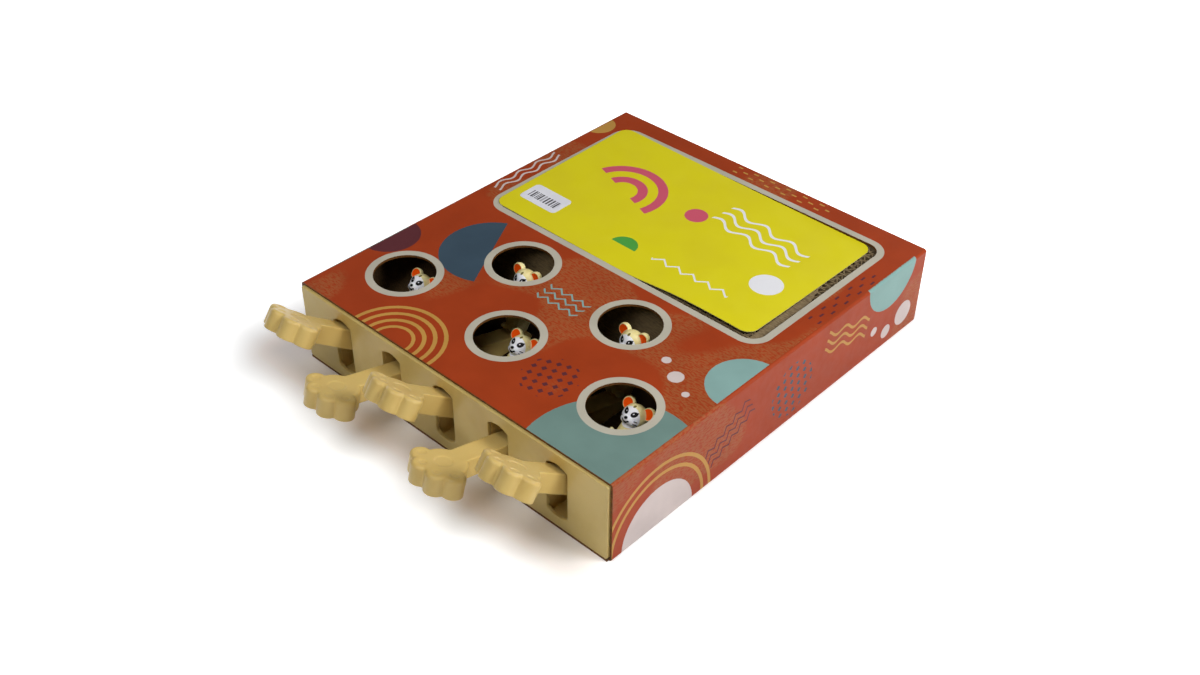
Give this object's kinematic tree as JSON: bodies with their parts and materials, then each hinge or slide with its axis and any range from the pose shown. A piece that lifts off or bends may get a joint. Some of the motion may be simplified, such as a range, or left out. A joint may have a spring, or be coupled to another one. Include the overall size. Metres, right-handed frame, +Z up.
{
  "type": "cat scratching board",
  "caption": "Flat card box with a corrugated scratching pad in a window and paw-shaped levers at the front that pop toy mice up through round holes.",
  "frame": {"origin": "middle of the box's bottom face, under the box and not under the paws", "axes": "+X to the right seen from the paws, +Y to the back, away from the paws, +Z up"},
  "size_m": [0.264, 0.3609, 0.0762],
  "materials": {
    "printed_card": "satin",
    "kraft_card": "matte",
    "kraft_paper": "matte",
    "yellow_card": "satin",
    "label_paper": "satin",
    "cream_plastic": "satin",
    "rod_steel": "satin",
    "mouse_rubber": "satin"
  },
  "bodies": {
    "box": {"box_top": "printed_card", "box_left_side": "printed_card", "box_right_side": "printed_card", "box_base": "printed_card", "box_back": "printed_card", "partition": "kraft_card", "pad_liners": "kraft_paper", "pad_flutes": "kraft_paper", "insert_card": "yellow_card", "card_sticker": "label_paper", "front_panel": "cream_plastic", "pivot_rod": "rod_steel", "rod_brackets": "cream_plastic"},
    "paw_lever_1": {"lever_1": "cream_plastic", "mouse_1": "mouse_rubber"},
    "paw_lever_2": {"lever_2": "cream_plastic", "mouse_2": "mouse_rubber"},
    "paw_lever_3": {"lever_3": "cream_plastic", "mouse_3": "mouse_rubber"},
    "paw_lever_4": {"lever_4": "cream_plastic", "mouse_4": "mouse_rubber"},
    "paw_lever_5": {"lever_5": "cream_plastic", "mouse_5": "mouse_rubber"}
  },
  "joints": [
    {"name": "lever_1_hinge", "type": "hinge", "parent": "box", "child": "paw_lever_1", "pos_m": [-0.092, -0.138, 0.027], "axis": [1, 0, 0], "range_deg": [0, 38]},
    {"name": "lever_2_hinge", "type": "hinge", "parent": "box", "child": "paw_lever_2", "pos_m": [-0.046, -0.138, 0.027], "axis": [1, 0, 0], "range_deg": [0, 26]},
    {"name": "lever_3_hinge", "type": "hinge", "parent": "box", "child": "paw_lever_3", "pos_m": [0, -0.138, 0.027], "axis": [1, 0, 0], "range_deg": [0, 38]},
    {"name": "lever_4_hinge", "type": "hinge", "parent": "box", "child": "paw_lever_4", "pos_m": [0.046, -0.138, 0.027], "axis": [1, 0, 0], "range_deg": [0, 26]},
    {"name": "lever_5_hinge", "type": "hinge", "parent": "box", "child": "paw_lever_5", "pos_m": [0.092, -0.138, 0.027], "axis": [1, 0, 0], "range_deg": [0, 38]}
  ]
}
